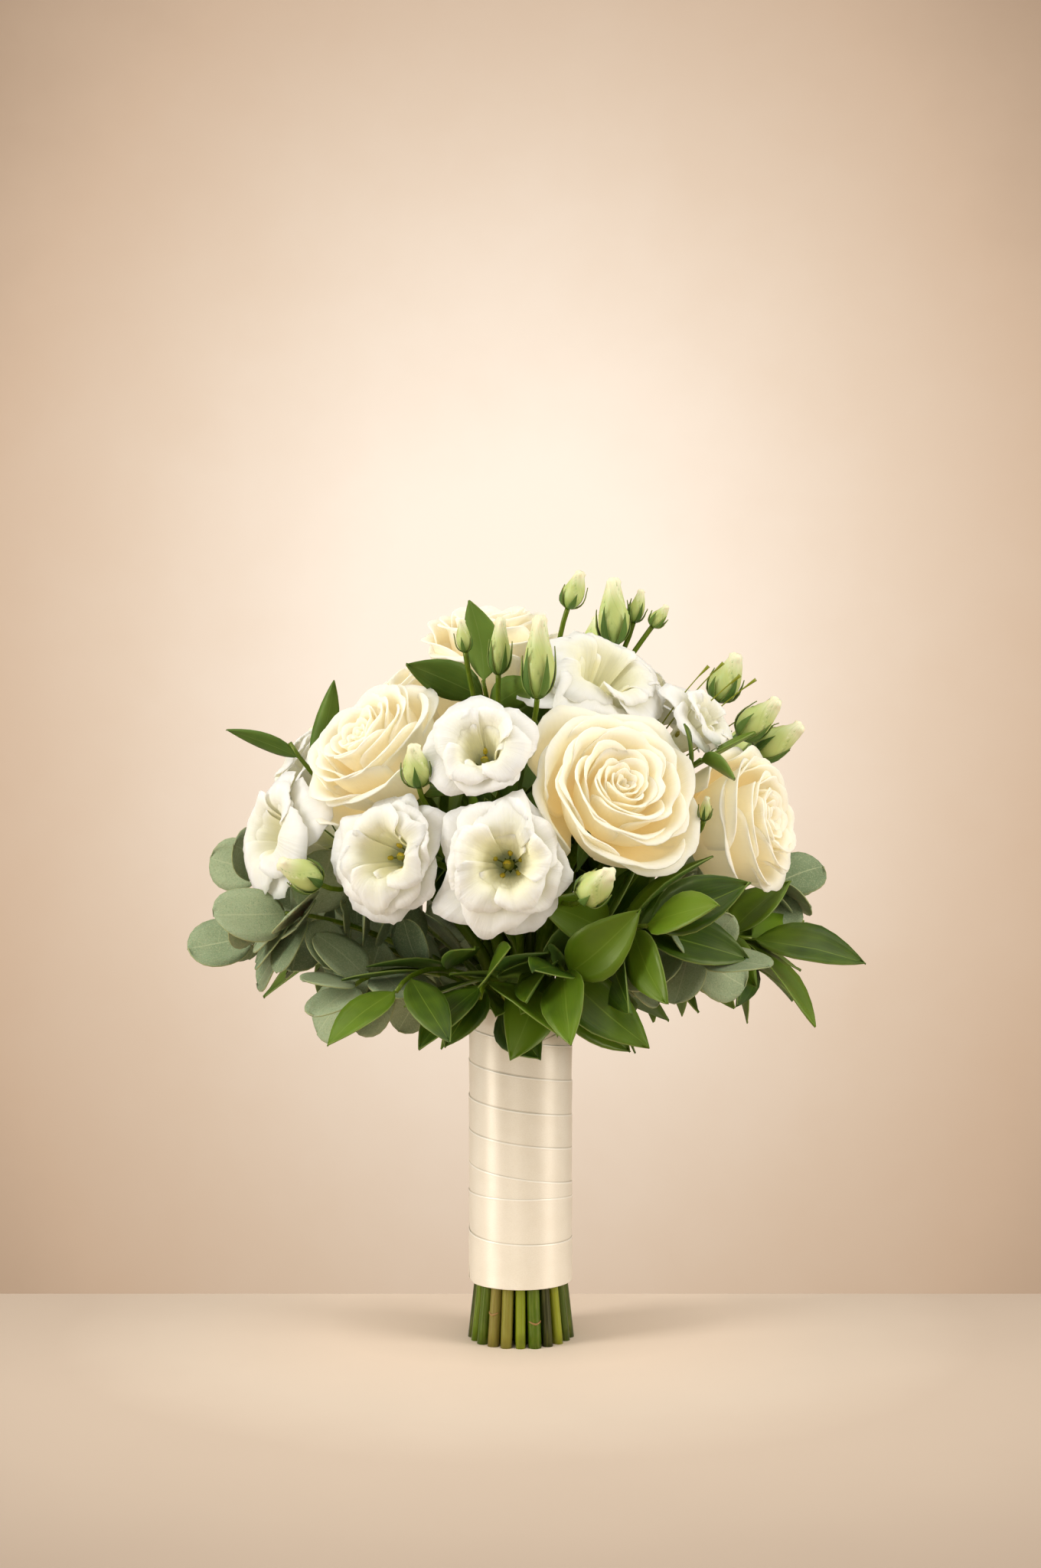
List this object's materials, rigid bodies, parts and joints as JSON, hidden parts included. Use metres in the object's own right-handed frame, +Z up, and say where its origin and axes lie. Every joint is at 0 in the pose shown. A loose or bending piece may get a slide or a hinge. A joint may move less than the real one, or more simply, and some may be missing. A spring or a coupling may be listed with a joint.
{
  "type": "bridesmaid bouquet",
  "caption": "Domed posy of cream roses and white lisianthus with eucalyptus and ruscus leaves, its stems bound and wrapped in satin ribbon and cut flat below it.",
  "frame": {"origin": "centre of the bounding box in plan, at the level of the cut stem ends that it stands on", "axes": "+Z up along the handle, -Y the face of the bouquet, +X the viewer's right"},
  "size_m": [0.2574, 0.2166, 0.2967],
  "materials": {
    "rose": "satin",
    "lisianthus": "satin",
    "heart": "satin",
    "rose_stem": "satin",
    "lisianthus_stem": "satin",
    "eucalyptus": "matte",
    "ruscus": "satin",
    "ribbon": "gloss",
    "tape": "matte"
  },
  "bodies": {
    "root": {"binding_tape": "tape", "eucalyptus_back": "eucalyptus", "eucalyptus_back_left": "eucalyptus", "eucalyptus_back_right": "eucalyptus", "eucalyptus_far_left": "eucalyptus", "eucalyptus_front_left": "eucalyptus", "eucalyptus_front_right": "eucalyptus", "eucalyptus_left": "eucalyptus", "eucalyptus_left_low": "eucalyptus", "eucalyptus_right": "eucalyptus", "lisianthus_back": "lisianthus", "lisianthus_back_left": "lisianthus", "lisianthus_back_left_stem": "lisianthus_stem", "lisianthus_back_right": "lisianthus", "lisianthus_back_right_stem": "lisianthus_stem", "lisianthus_back_stem": "lisianthus_stem", "lisianthus_back_top": "lisianthus", "lisianthus_back_top_stem": "lisianthus_stem", "lisianthus_centre": "lisianthus", "lisianthus_centre_stem": "lisianthus_stem", "lisianthus_far_left": "lisianthus", "lisianthus_front": "lisianthus", "lisianthus_front_heart": "heart", "lisianthus_front_left": "lisianthus", "lisianthus_front_left_heart": "heart", "lisianthus_front_stem": "lisianthus_stem", "lisianthus_left": "lisianthus", "lisianthus_left_stem": "lisianthus_stem", "lisianthus_right": "lisianthus", "lisianthus_right_stem": "lisianthus_stem", "lisianthus_top": "lisianthus", "lisianthus_top_right": "lisianthus", "lisianthus_top_stem": "lisianthus_stem", "ribbon_wrap": "ribbon", "rose_back_left": "rose", "rose_back_left_stem": "rose_stem", "rose_back_right": "rose", "rose_back_right_stem": "rose_stem", "rose_front_left": "rose", "rose_front_left_stem": "rose_stem", "rose_front_right": "rose", "rose_front_right_stem": "rose_stem", "rose_right": "rose", "rose_right_stem": "rose_stem", "rose_top": "rose", "rose_top_left": "rose", "rose_top_left_stem": "rose_stem", "rose_top_stem": "rose_stem", "ruscus_back_left": "ruscus", "ruscus_back_right": "ruscus", "ruscus_far_right": "ruscus", "ruscus_front": "ruscus", "ruscus_front_left": "ruscus", "ruscus_front_right": "ruscus", "ruscus_left": "ruscus", "ruscus_right": "ruscus", "ruscus_top": "ruscus", "ruscus_under_rose": "ruscus", "ruscus_upper_left": "ruscus", "ruscus_upper_right": "ruscus"}
  },
  "joints": []
}
